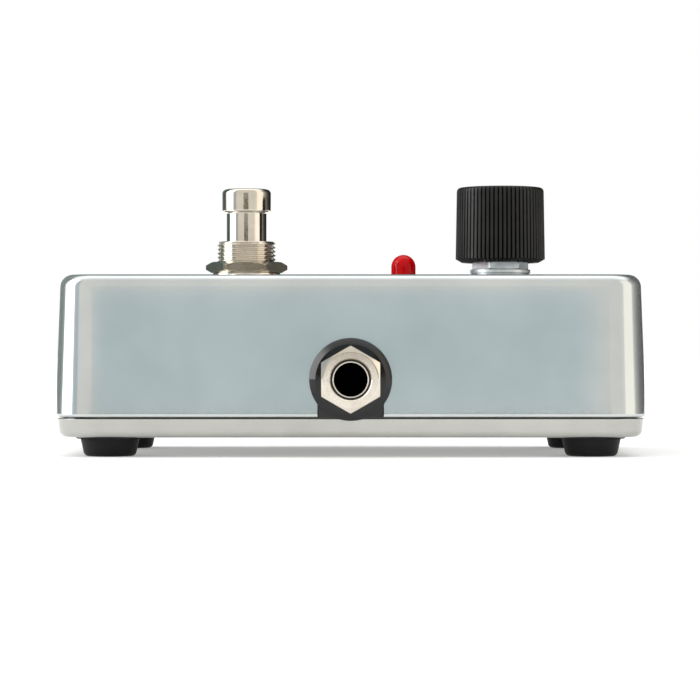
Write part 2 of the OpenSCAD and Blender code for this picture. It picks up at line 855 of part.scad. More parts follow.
module jack_nut() {
    color("#ddd6cb")
    translate([0, -collar_y, jack_z]) rotate([90, 0, 0])
        hex_nut(jack_nut_af, jack_face_y - collar_y, nose_r, jack_nut_rim, 30);
}

module jack_contact() {
    color("#c9b27a")
    rotate([90, 0, 90]) translate([0, 0, -leaf_w / 2])
        linear_extrude(leaf_w) polygon(strip_outline(leaf_route(), leaf_t));
}

module input_jack_housing() { jack_housing(); }
module input_jack_sleeve() { jack_sleeve(); }
module input_jack_nut() { jack_nut(); }
module input_jack_contact() { jack_contact(); }
module output_jack_housing() { mirror([0, 1, 0]) jack_housing(); }
module output_jack_sleeve() { mirror([0, 1, 0]) jack_sleeve(); }
module output_jack_nut() { mirror([0, 1, 0]) jack_nut(); }
module output_jack_contact() { mirror([0, 1, 0]) jack_contact(); }

// ---- Power socket ----

module power_jack_housing() {
    color("#202124")
    difference() {
        translate([power_back_x, -power_half_w, power_foot_z])
            cube([power_face_x - power_back_x, 2 * power_half_w, board_z - power_foot_z]);
        translate([power_face_x - power_socket_l, 0, power_z]) rotate([0, 90, 0])
            cylinder(r = power_socket_r, h = power_socket_l + eps, $fn = fine);
        translate([power_back_x + 1.5, 0, power_z]) rotate([0, 90, 0])
            cylinder(r = power_pin_r, h = power_socket_l, $fn = fine);
        translate([power_back_x - eps, -1.35, power_z - 3.05])
            cube([power_face_x - power_socket_l - power_back_x + 2 * eps, 2.7, 0.6]);
    }
}

module power_jack_pin() {
    pin_l = 9.7;
    color("#d9d4c6")
    translate([power_back_x + 1.5, 0, power_z]) rotate([0, 90, 0]) {
        cylinder(r = power_pin_r, h = pin_l - 0.5, $fn = fine);
        translate([0, 0, pin_l - 0.5])
            cylinder(r1 = power_pin_r, r2 = power_pin_r - 0.4, h = 0.5, $fn = fine);
    }
}

module power_jack_contact() {
    strip_t = 0.3;
    strip_w = 2.5;
    tail_x = power_back_x - 0.3;
    low = power_z - 2.75;
    route = [[tail_x, board_top + 1.2], [tail_x, low], [power_face_x - 6, low],
        [power_face_x - 4, low + 0.8], [power_face_x - 2, low + 0.1]];
    color("#c9b27a")
    translate([0, strip_w / 2, 0]) rotate([90, 0, 0])
        linear_extrude(strip_w) polygon(strip_outline(route, strip_t));
}

// ---- Circuit board and its parts ----

module circuit_board() {
    color("#1f5c3a")
    difference() {
        translate([(board_x0 + board_x1) / 2, 0, board_z])
            round_plate(board_x1 - board_x0, 2 * board_half_w, 1.5, board_t);
        lamp_leads();
        pot_pins();
        for (side = [-1, 1])
            translate([-leaf_w / 2 - 0.1, side * (jack_block_y0 - 0.3) - 0.3, board_z - eps])
                cube([leaf_w + 0.2, 0.6, board_t + 2 * eps]);
        translate([power_back_x - 0.6, -1.35, board_z - eps]) cube([0.6, 2.7, board_t + 2 * eps]);
    }
}

module amplifier_chip() {
    body = [9.6, 6.4, 3.3];
    leg = [0.5, 0.3, 2.2];
    stand_off = 0.6;
    color("#2b2b2d")
    translate([13, -19.6, board_top]) {
        translate([0, 0, stand_off]) cube(body);
        for (i = [0:3], sy = [-1, 1])
            translate([0.8 + i * lead_pitch, sy > 0 ? body[1] : -leg[1], 0]) cube(leg);
    }
}

// Small half-round transistors
module transistors() {
    places = [[0, 13], [6, 13]];
    r = 2.4;
    h = 4.6;
    leg_w = 0.4;
    leg_h = 1.5;
    flat_y = 1;
    color("#2b2b2d")
    for (place = places)
        translate([place[0], place[1], board_top]) {
            difference() {
                translate([0, 0, leg_h]) cylinder(r = r, h = h, $fn = fine);
                translate([-r - eps, flat_y, leg_h - eps]) cube([2 * r + 2 * eps, r, h + 2 * eps]);
            }
            for (i = [-1:1])
                translate([i * lead_pitch / 2 - leg_w / 2, -leg_w / 2, 0]) cube([leg_w, leg_w, leg_h]);
        }
}

// Upright electrolytic cans and flat film capacitors
module capacitors() {
    can_places = [[40, -19], [40, 19], [30, -19], [1, -19]];
    can_r = 3.15;
    can_h = 7.4;
    film = [2.5, 7.2, 6.4];
    film_x = 12;
    film_pitch = 4.2;
    color("#30405c")
    translate([0, 0, board_top]) {
        for (place = can_places)
            translate([place[0], place[1], 0]) cylinder(r = can_r, h = can_h, $fn = fine);
        for (i = [0:3])
            translate([film_x + i * film_pitch, 17, 0]) cube(film);
    }
}

// Axial resistors: a row of five on one side of the lamp and two on the other side
module resistors() {
    places = [[1, -9], [4.4, -9], [7.8, -9], [11.2, -9], [14.6, -9], [11.2, 9], [14.6, 9]];
    r = 1.15;
    l = 6;
    axis_z = 1.4;
    lead = 0.5;
    color("#cdb38a")
    for (place = places)
        translate([place[0], place[1], board_top]) {
            translate([0, 0, axis_z]) rotate([90, 0, 0]) cylinder(r = r, h = l, center = true, $fn = fine);
            for (end = [-1, 1])
                translate([-lead / 2, end * (l + lead) / 2 - lead / 2, 0])
                    cube([lead, lead, axis_z + lead / 2]);
        }
}

// ---- Battery ----

module battery() {
    color("#3c3d40")
    translate([battery_mid_x, battery_y0, battery_mid_z]) rotate([-90, 0, 0])
        round_plate(battery_t, battery_h, 2, battery_l);
}

// Snap terminals: a stud above and a crown below
module battery_terminals() {
    color("#d0d0cc")
    translate([battery_mid_x, battery_end_y, battery_mid_z]) {
        translate([0, 0, snap_pitch / 2]) rotate([-90, 0, 0]) cylinder(r = snap_r, h = snap_h, $fn = fine);
        translate([0, 0, -snap_pitch / 2]) rotate([-90, 0, 0]) washer(snap_ring_r, snap_r + 0.1, snap_h);
    }
}

// Clip with the matching crown and stud
module battery_clip() {
    plate_w = 12.6;
    plate_h = 25.5;
    reach = clip_y - battery_end_y - 0.4;
    color("#1c1c1d")
    translate([battery_mid_x, clip_y, battery_mid_z]) {
        rotate([-90, 0, 0]) round_plate(plate_w, plate_h, 2, clip_t);
        translate([0, -reach, snap_pitch / 2]) rotate([-90, 0, 0]) washer(snap_ring_r, snap_r + 0.1, reach);
        translate([0, -reach, -snap_pitch / 2]) rotate([-90, 0, 0])
            cylinder(r = snap_r, h = reach, $fn = fine);
    }
}

module battery_leads() {
    color("#a01818")
    for (route = [red_route, black_route]) tube(smooth_route(route, 4), lead_r, 8);
}

// Foam strip that keeps the battery off the switch
module battery_foam() {
    foam = [0.9, 40, 21];
    color("#4a4b4d")
    translate([battery_x0 + battery_t, -22, 8]) cube(foam);
}

enclosure_shell();
base_cover();
cover_screws();
foot_front_right();
foot_front_left();
foot_rear_right();
foot_rear_left();
foot_pads();
switch_button();
switch_spring();
switch_bushing();
switch_nut();
switch_washer();
switch_lock_washer();
switch_jam_nut();
switch_cradle();
switch_housing();
switch_rocker();
switch_terminal_board();
switch_lugs();
switch_ribbon();
knob();
knob_pointer();
pot_shaft();
pot_bushing();
pot_nut();
pot_washer();
pot_lock_washer();
pot_housing();
pot_wafer();
pot_wiper();
pot_pins();
lamp_lens();
lamp_leads();
lamp_spacer();
input_jack_housing();
input_jack_sleeve();
input_jack_nut();
input_jack_contact();
output_jack_housing();
output_jack_sleeve();
output_jack_nut();
output_jack_contact();
power_jack_housing();
power_jack_pin();
power_jack_contact();
circuit_board();
amplifier_chip();
transistors();
capacitors();
resistors();
battery();
battery_terminals();
battery_clip();
battery_leads();
battery_foam();
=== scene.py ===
import json
import math
import bmesh
import bpy
import numpy as np
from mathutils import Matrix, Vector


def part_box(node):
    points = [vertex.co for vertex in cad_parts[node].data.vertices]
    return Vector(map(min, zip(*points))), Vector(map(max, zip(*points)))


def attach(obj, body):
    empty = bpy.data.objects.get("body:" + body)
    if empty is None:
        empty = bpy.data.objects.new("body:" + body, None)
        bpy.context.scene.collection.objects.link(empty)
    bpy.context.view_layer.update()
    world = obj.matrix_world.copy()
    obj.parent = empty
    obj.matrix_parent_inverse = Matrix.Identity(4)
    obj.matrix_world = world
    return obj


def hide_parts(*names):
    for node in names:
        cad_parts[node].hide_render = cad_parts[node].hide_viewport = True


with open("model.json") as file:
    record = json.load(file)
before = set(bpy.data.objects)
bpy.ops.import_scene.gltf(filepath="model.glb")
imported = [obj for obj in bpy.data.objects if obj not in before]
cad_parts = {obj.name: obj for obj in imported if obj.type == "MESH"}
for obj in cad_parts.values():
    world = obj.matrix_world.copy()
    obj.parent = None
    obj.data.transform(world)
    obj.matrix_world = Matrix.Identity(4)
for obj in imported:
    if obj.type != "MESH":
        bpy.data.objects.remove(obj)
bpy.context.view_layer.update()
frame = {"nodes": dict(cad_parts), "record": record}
record = frame["record"]
toMm = 1000.0


# Box of a CAD node in millimetres
def boxOf(node):
    low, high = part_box(node)
    return np.array(low) * toMm, np.array(high) * toMm


# Middle of a CAD node's box
def middleOf(node):
    low, high = boxOf(node)
    return (low + high) / 2


# Rounds the corners of a profile: each row is (across, along, radius), and an arc that touches
# both sides takes the place of the corner
def rounded(corners, steps=6, ring=False):
    points = np.array(corners, float)
    count = len(points)
    out = []
    for i in range(count):
        here, radius = points[i, :2], points[i, 2]
        atEnd = not ring and i in (0, count - 1)
        if radius <= 0 or atEnd:
            out.append(here[None])
            continue
        before, after = points[i - 1, :2] - here, points[(i + 1) % count, :2] - here
        lengthA, lengthB = np.linalg.norm(before), np.linalg.norm(after)
        a, b = before / lengthA, after / lengthB
        half = math.acos(np.clip(a @ b, -1, 1)) / 2
        if half > math.radians(89):
            out.append(here[None])
            continue
        reach = min(radius / math.tan(half), 0.48 * lengthA, 0.48 * lengthB)
        radius = reach * math.tan(half)
        middle = here + (a + b) / np.linalg.norm(a + b) * radius / math.sin(half)
        start, end = here + a * reach - middle, here + b * reach - middle
        sweep = math.atan2(start[0] * end[1] - start[1] * end[0], start @ end)
        turn = np.linspace(0, sweep, steps + 1)[:, None]
        out.append(middle + np.cos(turn) * start + np.sin(turn) * np.array([-start[1], start[0]]))
    return np.concatenate(out)


# Closed mesh from a grid of points in millimetres. Each row is a loop whose last point repeats
# the first. ring joins the last row to the first, and otherwise both ends are closed flat
def surface(name, grid, ring=False):
    rows, columns = grid.shape[:2]
    if ring:
        grid = np.concatenate([grid, grid[:1]])
        rows += 1
    index = np.arange(rows * columns).reshape(rows, columns)
    quads = np.stack([index[:-1, :-1], index[:-1, 1:], index[1:, 1:], index[1:, :-1]], -1).reshape(-1, 4)
    mesh = bpy.data.meshes.new(name)
    mesh.from_pydata((grid.reshape(-1, 3) / toMm).tolist(), [], quads.tolist())
    work = bmesh.new()
    work.from_mesh(mesh)
    bmesh.ops.remove_doubles(work, verts=work.verts, dist=2e-7)
    rims = [e for e in work.edges if e.is_boundary]
    if rims:
        bmesh.ops.holes_fill(work, edges=rims, sides=0)
    bmesh.ops.recalc_face_normals(work, faces=work.faces)
    work.to_mesh(mesh)
    work.free()
    made = bpy.data.objects.new(name, mesh)
    bpy.context.scene.collection.objects.link(made)
    return made


# Angles of a full turn, the last repeating the first
def turnAngles(count, start=0.0):
    return np.radians(start) + np.linspace(0, 2 * np.pi, count + 1)


# Upright placing of (radius, height) about an axis at x, y
def upright(x, y=0.0):
    return lambda radius, height, angle: np.stack(
        [x + radius * np.cos(angle), y + radius * np.sin(angle), height + 0 * angle], -1)


# Placing about the axis of a signal jack, with the height measured outwards from the mid-plane
def sideways(side, z):
    return lambda radius, height, angle: np.stack(
        [radius * np.cos(angle), side * (height + 0 * angle), z + radius * np.sin(angle)], -1)


# Turned piece: the profile (radius, height) carried round its axis
def turned(name, profile, place, count=160, ring=False):
    angle = turnAngles(count)[None]
    return surface(name, place(profile[:, :1] + 0 * angle, profile[:, 1:], angle), ring)


# Loops of a round-cornered box: corner centres stay where they are, and the corner radius is
# the outline's radius less the inset of each row
def castLoops(low, high, radius, profile, steps=20):
    halfX, halfY = (high[0] - low[0]) / 2, (high[1] - low[1]) / 2
    quarter = np.linspace(0, np.pi / 2, steps + 1)
    angle = np.concatenate([quarter + k * np.pi / 2 for k in range(4)])
    centreX = np.repeat([1, -1, -1, 1], steps + 1) * (halfX - radius)
    centreY = np.repeat([1, 1, -1, -1], steps + 1) * (halfY - radius)
    reach = radius - profile[:, :1]
    grid = np.stack([centreX + reach * np.cos(angle), centreY + reach * np.sin(angle),
                     profile[:, 1:] + 0 * angle], -1)
    return np.concatenate([grid, grid[:, :1]], 1)


# Hex nut: at each angle the side is the apothem over the cosine of the angle from the nearest
# flat, rounded near a corner by a small circle, and each rim falls away as a cone of 30 degrees
# from a circle about the axis. A narrow row on each side of an edge softens it
def hexNut(name, size, place):
    low, high, soft = size["low"], size["high"], size["soft"]
    apothem, rim, lead = size["acrossFlats"] / 2, size["rim"], size["lead"]
    angle = turnAngles(288, size["turn"])
    fromCorner = np.radians(np.mod(np.degrees(angle) - size["turn"] + 30, 60) - 30)
    side = apothem / np.cos(np.radians(30) - np.abs(fromCorner))
    centre = (apothem - size["cornerRadius"]) / math.cos(math.radians(30))
    inside = np.maximum(size["cornerRadius"] ** 2 - (centre * np.sin(fromCorner)) ** 2, 0)
    side = np.minimum(side, np.where(inside > 0, centre * np.cos(fromCorner) + np.sqrt(inside), side))
    slope = math.tan(math.radians(30))
    fall = np.maximum(side - rim, 0) * slope
    level = high + 0 * side
    top = [(np.minimum(side, rim) - 3 * soft, level),
           (np.minimum(side, rim) - soft, level),
           (np.minimum(side, rim + soft) - soft * 0.4, level - 0.3 * soft),
           (side - soft * 0.5, high - np.maximum(fall - 0.3 * soft, 0.5 * soft)),
           (side, high - fall - soft)]
    bottom = [(radius, low + high - height) for radius, height in reversed(top)]
    hole = size["hole"] * np.ones_like(angle)
    rows = ([(hole, low + lead), (hole, high - lead), (hole + lead, high)]
            + top + bottom + [(hole + lead, low)])
    return surface(name, np.stack([place(radius, height, angle) for radius, height in rows]), ring=True)


# Cuts or joins helpers into a piece, and removes the helpers
def shaped(piece, helpers, operation):
    for helper in helpers:
        step = piece.modifiers.new("step", "BOOLEAN")
        step.object = helper
        step.operation = operation
        step.solver = "EXACT"
        bpy.context.view_layer.update()
        done = bpy.data.meshes.new_from_object(piece.evaluated_get(bpy.context.evaluated_depsgraph_get()))
        piece.modifiers.clear()
        piece.data = done
        bpy.data.objects.remove(helper)
    return piece


# Smooth shading with crisp edges, and normals that follow the large faces
def shade(piece, angle):
    piece.data.shade_smooth()
    if not piece.modifiers:
        piece.data.set_sharp_from_angle(angle=math.radians(angle))
    normals = piece.modifiers.new("normals", "WEIGHTED_NORMAL")
    normals.keep_sharp = True


# Body that each node rides on, and the slot of each node
bodyOf = {n: b for b, names in record["behaviour"]["bodies"].items() for n in names}
slotOf = {s["node"]: s["material_slot"] for s in record["subparts"]}
made = {}


# Hands a finished surface to the frame in place of CAD nodes
def finishPiece(piece, *nodes, angle=32):
    shade(piece, angle)
    piece.name = nodes[0] + "_skin"
    piece.data.name = piece.name
    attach(piece, bodyOf[nodes[0]])
    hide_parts(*nodes)
    made[nodes[0]] = piece
    return piece


# Cast box: rounded loops from the inner roof down to the lip, round it, and up to the outer top
shellLow, shellHigh = boxOf("enclosure_shell")
shellSet = {"corner": 7.6, "draft": 2.2, "topEdge": 2.4, "lowEdge": 0.6, "wall": 2.4, "roof": 2.2,
            "innerEdge": 1.5, "lip": 0.3, "boss": 3.25, "tap": 1.5, "tapDepth": 8.0,
            "screwX": 52.0, "screwY": 13.0, "flare": 0.25, "roofRun": 6.4, "innerRun": 3.6}
holeSet = {"switch": 6.05, "lamp": 2.55, "knob": 3.6, "power": 5.75, "powerDeep": 4.0, "slot": 6.25}
shellHeight = shellHigh[2] - shellLow[2]
lean = math.tan(math.radians(shellSet["draft"]))
innerTop = shellHigh[2] - shellSet["roof"]
shellProfile = rounded([
    (shellSet["wall"] + shellHeight * lean + shellSet["innerRun"], innerTop, 0),
    (shellSet["wall"] + shellHeight * lean, innerTop, shellSet["innerEdge"]),
    (shellSet["wall"], shellLow[2], shellSet["lip"]),
    (0, shellLow[2], shellSet["lowEdge"]),
    (shellHeight * lean, shellHigh[2], shellSet["topEdge"]),
    (shellHeight * lean + shellSet["roofRun"], shellHigh[2], 0)], steps=14)
shell = surface("shell", castLoops(shellLow, shellHigh, shellSet["corner"], shellProfile, 24))


# Round helper that flares by a little where it leaves the outer face
def holeHelper(radius, low, high, place):
    flare = shellSet["flare"]
    return turned("helper", np.array([(radius, low), (radius, high - 2 * flare),
                                      (radius + 2 * flare, high)]), place, 96)


# Outline of a slot that is round above and runs straight down, as (across, height) points
def slotOutline(radius, centre, foot):
    arc = np.radians(np.linspace(0, 180, 49))
    outline = np.stack([radius * np.cos(arc), centre + radius * np.sin(arc)], -1)
    return np.concatenate([outline, [[-radius, foot], [radius, foot]], outline[:1]])


switchX, lampX, knobX = middleOf("switch_bushing")[0], middleOf("lamp_lens")[0], middleOf("knob")[0]
jackZ = middleOf("input_jack_sleeve")[2]
powerZ = middleOf("power_jack_pin")[2]
over = shellSet["flare"]
helpers = [holeHelper(radius, innerTop - 1, shellHigh[2] + over, upright(x))
           for x, radius in ((switchX, holeSet["switch"]), (lampX, holeSet["lamp"]),
                             (knobX, holeSet["knob"]))]
for side in (-1, 1):
    loops = []
    for inward, wider in ((4.5, 0), (0.3, 0), (-0.35, 0.25)):
        outline = slotOutline(holeSet["slot"] + wider, jackZ, shellLow[2] - 1)
        y = side * (shellHigh[1] - inward)
        loops.append(np.stack([outline[:, 0], y + 0 * outline[:, 0], outline[:, 1]], -1))
    helpers.append(surface("helper", np.stack(loops)))
wallX = shellHigh[0] - (powerZ - shellLow[2]) * lean
helpers.append(holeHelper(
    holeSet["power"], wallX - holeSet["powerDeep"], wallX + over, lambda radius, height, angle: np.stack(
        [height + 0 * angle, radius * np.cos(angle), powerZ + radius * np.sin(angle)], -1)))
screwSpots = [(sx * shellSet["screwX"], sy * shellSet["screwY"]) for sx in (-1, 1) for sy in (-1, 1)]


# Post or hole helper at a cover screw
def screwHelper(x, y, rows):
    return turned("helper", np.array(rows), upright(x, y), 48)


bosses = [screwHelper(x, y, [(shellSet["boss"], shellLow[2] + 0.02), (shellSet["boss"], innerTop + 0.5)])
          for x, y in screwSpots]
tapTop = shellLow[2] + shellSet["tapDepth"]
taps = [screwHelper(x, y, [(shellSet["tap"], shellLow[2] - 1), (shellSet["tap"], tapTop)])
        for x, y in screwSpots]
shaped(shell, bosses, "UNION")
shaped(shell, helpers + taps, "DIFFERENCE")
finishPiece(shell, "enclosure_shell", angle=28)
print("shell made")

# Cover: the same kind of loops, with a rim under the box and a lip that goes up inside it
coverLow, coverHigh = boxOf("base_cover")
coverSet = {"gap": 0.3, "draft": 6.8, "lowEdge": 1.5, "rimEdge": 0.07, "seam": 0.9, "lip": 1.3,
            "lipGap": 0.15, "floor": 5.75, "head": 2.85, "shank": 1.6, "headSink": 0.2, "headDepth": 1.25,
            "notch": (9.0, 3.6), "postGap": 0.25}
coverInset = shellHigh[0] - coverHigh[0]
rim = shellLow[2] - coverSet["gap"]
rimDrop = (rim - coverLow[2]) * math.tan(math.radians(coverSet["draft"]))
lipInset = shellSet["wall"] + coverSet["lipGap"] - coverInset
coverProfile = rounded([
    (rimDrop + 4, coverLow[2], 0),
    (rimDrop, coverLow[2], coverSet["lowEdge"]),
    (0, rim, coverSet["rimEdge"]),
    (coverSet["seam"], rim, 0.05),
    (coverSet["seam"], shellLow[2], 0),
    (lipInset, shellLow[2], 0.05),
    (lipInset, coverHigh[2], 0.3),
    (lipInset + coverSet["lip"], coverHigh[2], 0.3),
    (lipInset + coverSet["lip"], coverSet["floor"], 0.5),
    (lipInset + coverSet["lip"] + 1, coverSet["floor"], 0)], steps=10)
cover = surface("cover", castLoops(coverLow, coverHigh, shellSet["corner"] - coverInset, coverProfile, 24))
posts = [screwHelper(x, y, [(shellSet["boss"], coverSet["floor"] - 0.5), (shellSet["boss"], shellLow[2])])
         for x, y in screwSpots]
notches = []
for side in (-1, 1):
    loop = np.array([(-1, -1), (1, -1), (1, 1), (-1, 1), (-1, -1)]) * coverSet["notch"]
    loop = loop + [0, side * (coverHigh[1] - lipInset)]
    notches.append(surface("helper", np.stack([
        np.column_stack([loop, np.full(5, z)]) for z in (shellLow[2], coverHigh[2] + 1)])))
seatRadius = shellSet["boss"] + coverSet["postGap"]
seats = [screwHelper(x, y, [(seatRadius, shellLow[2]), (seatRadius, coverHigh[2] + 1)])
         for x, y in screwSpots]
sunk = coverLow[2] + coverSet["headSink"]
sinks = [screwHelper(x, y, [
    (coverSet["head"], coverLow[2] - 1), (coverSet["head"], sunk),
    (coverSet["shank"], sunk + coverSet["headDepth"]), (coverSet["shank"], shellLow[2] + 1)])
    for x, y in screwSpots]
shaped(cover, notches + seats, "DIFFERENCE")
shaped(cover, posts, "UNION")
shaped(cover, sinks, "DIFFERENCE")
finishPiece(cover, "base_cover", angle=28)
print("cover made")

# Feet: tapered turned blocks, each on a thin round pad
footSet = {"lowRadius": 4.95, "lowEdge": 1.0, "topEdge": 0.12}
for foot in ("foot_front_right", "foot_front_left", "foot_rear_right", "foot_rear_left"):
    low, high = boxOf(foot)
    spot, radius = (low + high) / 2, (high[0] - low[0]) / 2
    profile = rounded([(0, low[2], 0), (footSet["lowRadius"], low[2], footSet["lowEdge"]),
                       (radius, high[2], footSet["topEdge"]), (0, high[2], 0)], steps=8)
    finishPiece(turned(foot, profile, upright(spot[0], spot[1]), 96), foot)

padLow, padHigh = boxOf("foot_pads")
padSet = {"radius": 6.5, "edge": 0.1}
padSpots = [(sx * (padHigh[0] - padSet["radius"]), sy * (padHigh[1] - padSet["radius"]))
            for sx in (-1, 1) for sy in (-1, 1)]
padProfile = rounded([(0, padLow[2], 0), (padSet["radius"], padLow[2], padSet["edge"]),
                      (padSet["radius"], padHigh[2], padSet["edge"]), (0, padHigh[2], 0)], steps=4)
pads = [turned("pad", padProfile, upright(x, y), 96) for x, y in padSpots]


# Gathers several closed surfaces into the first of them
def gathered(parts):
    work = bmesh.new()
    for part in parts:
        work.from_mesh(part.data)
    work.to_mesh(parts[0].data)
    work.free()
    for part in parts[1:]:
        bpy.data.objects.remove(part)
    return parts[0]


finishPiece(gathered(pads), "foot_pads")
print("feet made")

# Button: a stem, a neck and a cap in one turned profile
buttonLow, buttonHigh = boxOf("switch_button")
bushLow, bushHigh = boxOf("switch_bushing")
buttonSet = {"cap": 4.8, "neck": 4.0, "neckFoot": 32.0, "stem": 2.0, "edge": 0.9, "crown": 0.12,
             "taper": 0.03}
capLow = buttonHigh[2] - buttonSet["cap"]
capRadius = (buttonHigh[0] - buttonLow[0]) / 2
buttonProfile = rounded([
    (0, buttonLow[2], 0), (buttonSet["stem"], buttonLow[2], 0.3),
    (buttonSet["stem"], buttonSet["neckFoot"], 0.2), (buttonSet["neck"], buttonSet["neckFoot"], 0.3),
    (buttonSet["neck"], capLow, 0.25), (capRadius - buttonSet["taper"], capLow, buttonSet["edge"]),
    (capRadius, buttonHigh[2] - buttonSet["crown"], buttonSet["edge"]), (0, buttonHigh[2], 0)], steps=12)
finishPiece(turned("button", buttonProfile, upright(switchX), 192), "switch_button")

# Bushing with a true screw thread: rows follow the helix, so that height grows with the angle,
# and the radius goes between root and crest as a flattened zigzag along each turn
threadSet = {"pitch": 0.794, "depth": 0.4, "bore": 4.05, "flat": 0.12, "perTurn": 14, "chamfer": 0.45}
crest = (bushHigh[0] - bushLow[0]) / 2
root = crest - threadSet["depth"]
turns = int(math.ceil((bushHigh[2] - bushLow[2]) / threadSet["pitch"])) + 2
phase = np.arange(-threadSet["perTurn"], turns * threadSet["perTurn"] + 1) / threadSet["perTurn"]
angle = turnAngles(144)[None]
height = bushLow[2] + threadSet["pitch"] * (phase[:, None] + angle / (2 * np.pi))
height = np.clip(height, bushLow[2], bushHigh[2])
zigzag = 1 - np.abs(2 * np.mod(phase, 1) - 1)
zigzag = np.clip((zigzag - threadSet["flat"]) / (1 - 2 * threadSet["flat"]), 0, 1)
radius = root + threadSet["depth"] * zigzag[:, None] + 0 * angle
endRoom = np.minimum(height - bushLow[2], bushHigh[2] - height)
radius = np.minimum(radius, crest - threadSet["chamfer"] + endRoom)
place = upright(switchX)
bore = [place(threadSet["bore"] + 0 * angle, h + 0 * angle, angle) for h in (bushHigh[2], bushLow[2])]
finishPiece(surface("bushing", np.concatenate([place(radius, height, angle), bore[0], bore[1]]), ring=True),
            "switch_bushing", angle=50)


# Washer with soft edges
def washerPiece(node, x, hole, edge):
    low, high = boxOf(node)
    outer = (high[0] - low[0]) / 2
    profile = rounded([(hole, low[2], edge), (outer, low[2], edge),
                       (outer, high[2], edge), (hole, high[2], edge)], steps=4, ring=True)
    finishPiece(turned(node, profile, upright(x), 128, ring=True), node)


washerPiece("switch_washer", switchX, 6.0, 0.12)
washerPiece("switch_lock_washer", switchX, 6.0, 0.1)
for node in ("switch_nut", "switch_jam_nut"):
    low, high = boxOf(node)
    finishPiece(hexNut(node, {"low": low[2], "high": high[2], "acrossFlats": high[1] - low[1], "turn": 0,
                              "rim": (high[1] - low[1]) / 2 - 0.1, "cornerRadius": 0.2, "hole": 5.9,
                              "lead": 0.3, "soft": 0.05}, upright(switchX)), node, angle=18)
print("footswitch made")

# Knob: a profile turned round the axis, held inside the ribs' grooves, where a groove's radius
# is a rounded V that opens outwards on both sides of its middle
knobLow, knobHigh = boxOf("knob")
knobSet = {"ribs": 64, "groove": 0.45, "share": 0.28, "soft": 0.07, "hollow": 7.0, "hollowTop": 41.5,
           "bore": 3.01, "boreTop": 50.5, "bevelWide": 1.25, "bevelHigh": 0.7, "topRadius": 8.75,
           "edge": 0.8, "crown": 0.22}
footRadius = (knobHigh[1] - knobLow[1]) / 2
crownFrom = knobHigh[2] - knobSet["crown"]
knobProfile = np.concatenate([
    rounded([(0, knobSet["boreTop"], 0), (knobSet["bore"], knobSet["boreTop"], 0),
             (knobSet["bore"], knobSet["hollowTop"], 0.2), (knobSet["hollow"], knobSet["hollowTop"], 0.6),
             (knobSet["hollow"], knobLow[2], 0.15),
             (footRadius - knobSet["bevelWide"], knobLow[2], 0.15),
             (footRadius, knobLow[2] + knobSet["bevelHigh"], 0.12),
             (knobSet["topRadius"], crownFrom, knobSet["edge"]),
             (knobSet["topRadius"] - 2.2, crownFrom + 0.1, 0)], steps=8),
    np.array([(r, knobHigh[2] - (knobSet["crown"] - 0.1) * (r / (knobSet["topRadius"] - 2.2)) ** 2)
              for r in (5.2, 4, 2.8, 1.5, 0)])])
angle = turnAngles(knobSet["ribs"] * 14)[None]
fromGroove = np.abs(np.mod(angle * knobSet["ribs"] / (2 * np.pi) + 0.5, 1) - 0.5)
grooveFloor = knobSet["topRadius"] - knobSet["groove"]
slope = (footRadius + 0.3 - grooveFloor) / knobSet["share"]
limit = grooveFloor + np.hypot(slope * fromGroove, knobSet["soft"]) - knobSet["soft"]
radius = np.minimum(knobProfile[:, :1] + 0 * angle, limit)
knob = surface("knob", upright(knobX)(radius, knobProfile[:, 1:], angle))
finishPiece(knob, "knob", angle=38)

# Pointer: a strip with a soft edge that follows the knob's crown
pointLow, pointHigh = boxOf("knob_pointer")
pointerSet = {"proud": 0.025, "edge": 0.06}
across = np.array([-1, -1, -0.9, 0, 0.9, 1, 1]) * (pointHigh[1] - pointLow[1]) / 2
drop = np.array([0.3, pointerSet["edge"], 0, 0, 0, pointerSet["edge"], 0.3])
along = np.linspace(pointLow[0], pointHigh[0], 17)
fromAxis = (along - knobX) / (knobSet["topRadius"] - 2.2)
crownZ = knobHigh[2] - (knobSet["crown"] - 0.1) * fromAxis ** 2
crownZ = np.minimum(crownZ + pointerSet["proud"], knobHigh[2])
strip = np.stack([along[:, None] + 0 * across, across + 0 * along[:, None], crownZ[:, None] - drop], -1)
finishPiece(surface("pointer", np.concatenate([strip, strip[:, :1]], 1)), "knob_pointer")

washerPiece("pot_lock_washer", knobX, 3.6, 0.1)
washerPiece("pot_washer", knobX, 3.6, 0.14)
low, high = boxOf("pot_nut")
potNut = hexNut("pot_nut", {"low": low[2], "high": high[2], "acrossFlats": 10.0, "turn": 6, "rim": 5.45,
                            "cornerRadius": 0.3, "hole": 3.5, "lead": 0.25, "soft": 0.07}, upright(knobX))
finishPiece(potNut, "pot_nut", angle=18)
print("knob made")

# Lens: a flange and a straight barrel closed by a half ball
lensLow, lensHigh = boxOf("lamp_lens")
lensSet = {"radius": 2.45, "flange": 1.0}
flangeRadius = (lensHigh[0] - lensLow[0]) / 2
flangeTop = lensLow[2] + lensSet["flange"]
dome = lensHigh[2] - lensSet["radius"]
arc = np.linspace(0, np.pi / 2, 25)
lensProfile = np.concatenate([
    rounded([(0, lensLow[2], 0), (flangeRadius, lensLow[2], 0.1), (flangeRadius, flangeTop, 0.15),
             (lensSet["radius"], flangeTop, 0.1), (lensSet["radius"], dome - 0.1, 0)], steps=5),
    np.stack([lensSet["radius"] * np.cos(arc), dome + lensSet["radius"] * np.sin(arc)], -1)])
finishPiece(turned("lens", lensProfile, upright(lampX), 128), "lamp_lens", angle=40)
print("lamp made")

